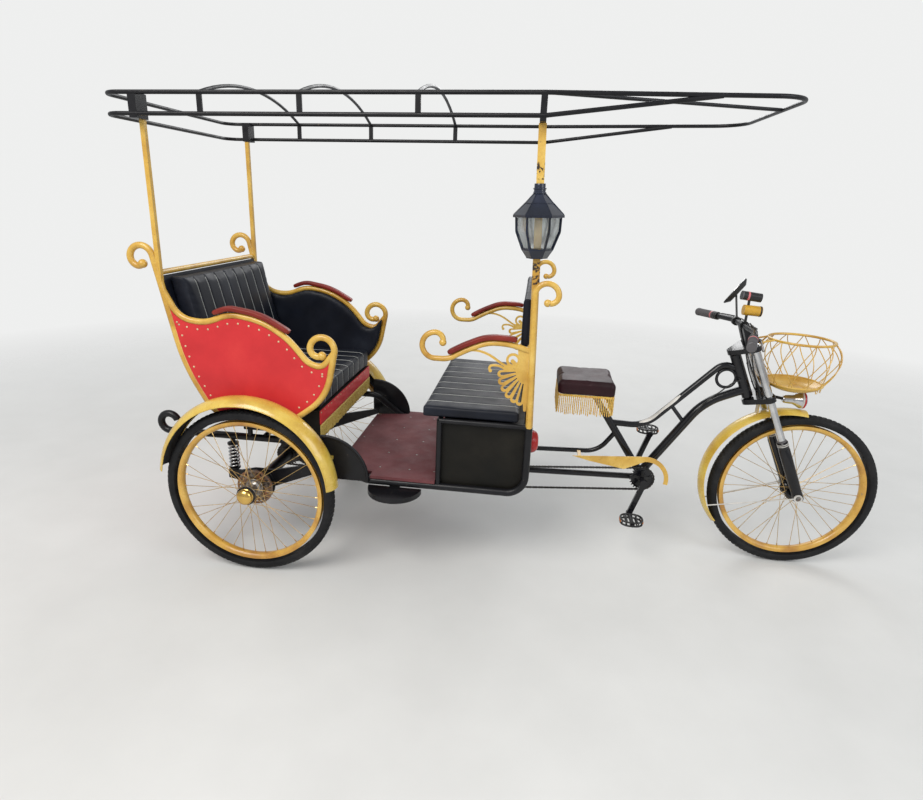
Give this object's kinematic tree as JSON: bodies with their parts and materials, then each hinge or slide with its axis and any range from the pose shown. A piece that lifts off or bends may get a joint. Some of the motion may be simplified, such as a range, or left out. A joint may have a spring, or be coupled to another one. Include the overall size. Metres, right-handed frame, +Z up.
{
  "type": "cycle rickshaw",
  "caption": "Pedal carriage with a passenger sofa, a facing bench, an open roof frame and lanterns; a rider steers it by a sprung fork ahead of the passengers.",
  "frame": {"origin": "on the ground, midway along the length and on the centre plane", "axes": "+X forward, +Y to the rider's left, +Z up"},
  "size_m": [2.9366, 1.06, 1.8225],
  "materials": {
    "black_paint": "gloss",
    "gold_paint": "gloss",
    "red_panel": "satin",
    "maroon_board": "satin",
    "dark_leather": "satin",
    "brown_leather": "satin",
    "box_panel": "matte",
    "tyre_rubber": "matte",
    "rubber": "matte",
    "chrome": "polished",
    "steel": "worn",
    "fringe": "matte",
    "glass": "clear",
    "red_plastic": "gloss",
    "yellow_plastic": "gloss",
    "black_plastic": "matte"
  },
  "bodies": {
    "chassis": {"chassis_frame": "black_paint", "cycle_frame": "black_paint", "rear_axle": "black_paint", "shock_absorbers": "chrome", "seat_rails": "gold_paint", "seat_panels": "red_panel", "seat_side_pads": "dark_leather", "seat_back_cushion": "dark_leather", "seat_cushion": "dark_leather", "seat_base": "box_panel", "seat_valance": "red_panel", "seat_fringe": "fringe", "arm_pads": "brown_leather", "wheel_shields": "black_paint", "rear_fenders": "gold_paint", "floor_board": "maroon_board", "step_plates": "black_paint", "bench_box": "box_panel", "box_lamp": "red_plastic", "bench_cushion": "dark_leather", "bench_back_pad": "brown_leather", "bench_rails": "gold_paint", "bench_brackets": "gold_paint", "lanterns": "black_paint", "lantern_glass": "glass", "roof_frame": "black_paint", "saddle": "brown_leather", "saddle_fringe": "fringe", "saddle_post": "steel", "chains": "steel", "chain_guard": "gold_paint"},
    "steering": {"fork_crowns": "black_paint", "fork_stanchions": "chrome", "fork_lowers": "black_paint", "front_fender": "gold_paint", "handlebar": "black_paint", "grips": "rubber", "brake_levers": "chrome", "mirror": "black_plastic", "handlebar_lamps": "yellow_plastic", "headlight": "chrome", "headlight_lens": "glass", "basket": "gold_paint"},
    "front_wheel_set": {"front_wheel": "gold_paint", "front_tyre": "tyre_rubber"},
    "rear_wheel_right_set": {"rear_wheel_right": "gold_paint", "rear_tyre_right": "tyre_rubber"},
    "rear_wheel_left_set": {"rear_wheel_left": "gold_paint", "rear_tyre_left": "tyre_rubber"},
    "cranks": {"crankset": "steel"},
    "right_pedal": {"pedal_right": "black_plastic"},
    "left_pedal": {"pedal_left": "black_plastic"},
    "relay": {"relay_sprockets": "steel"},
    "axle_drive": {"axle_sprocket": "steel"}
  },
  "joints": [
    {"name": "steering_turn", "type": "hinge", "parent": "chassis", "child": "steering", "pos_m": [0.8903, 0, 0.73], "axis": [-0.4147, 0, 0.91], "range_deg": [-38, 38]},
    {"name": "front_wheel_spin", "type": "hinge", "parent": "steering", "child": "front_wheel_set", "pos_m": [1.1333, 0, 0.335], "axis": [0, 1, 0], "continuous": true},
    {"name": "rear_right_wheel_spin", "type": "hinge", "parent": "chassis", "child": "rear_wheel_right_set", "pos_m": [-1.0247, -0.46, 0.335], "axis": [0, 1, 0], "continuous": true},
    {"name": "rear_left_wheel_spin", "type": "hinge", "parent": "chassis", "child": "rear_wheel_left_set", "pos_m": [-1.0247, 0.46, 0.335], "axis": [0, 1, 0], "continuous": true},
    {"name": "crank_turn", "type": "hinge", "parent": "chassis", "child": "cranks", "pos_m": [0.5123, 0, 0.353], "axis": [0, 1, 0], "continuous": true},
    {"name": "right_pedal_turn", "type": "hinge", "parent": "cranks", "child": "right_pedal", "pos_m": [0.46991, -0.175, 0.21434], "axis": [0, 1, 0], "continuous": true},
    {"name": "left_pedal_turn", "type": "hinge", "parent": "cranks", "child": "left_pedal", "pos_m": [0.55469, 0.175, 0.49166], "axis": [0, 1, 0], "continuous": true},
    {"name": "relay_turn", "type": "hinge", "parent": "chassis", "child": "relay", "pos_m": [-0.1647, -0.06, 0.298], "axis": [0, 1, 0], "continuous": true},
    {"name": "axle_drive_turn", "type": "hinge", "parent": "chassis", "child": "axle_drive", "pos_m": [-1.0247, -0.088, 0.335], "axis": [0, 1, 0], "continuous": true}
  ],
  "couplings": [
    {"joint": "relay_turn", "follows": "crank_turn", "ratio": 1},
    {"joint": "axle_drive_turn", "follows": "crank_turn", "ratio": 0.5}
  ]
}
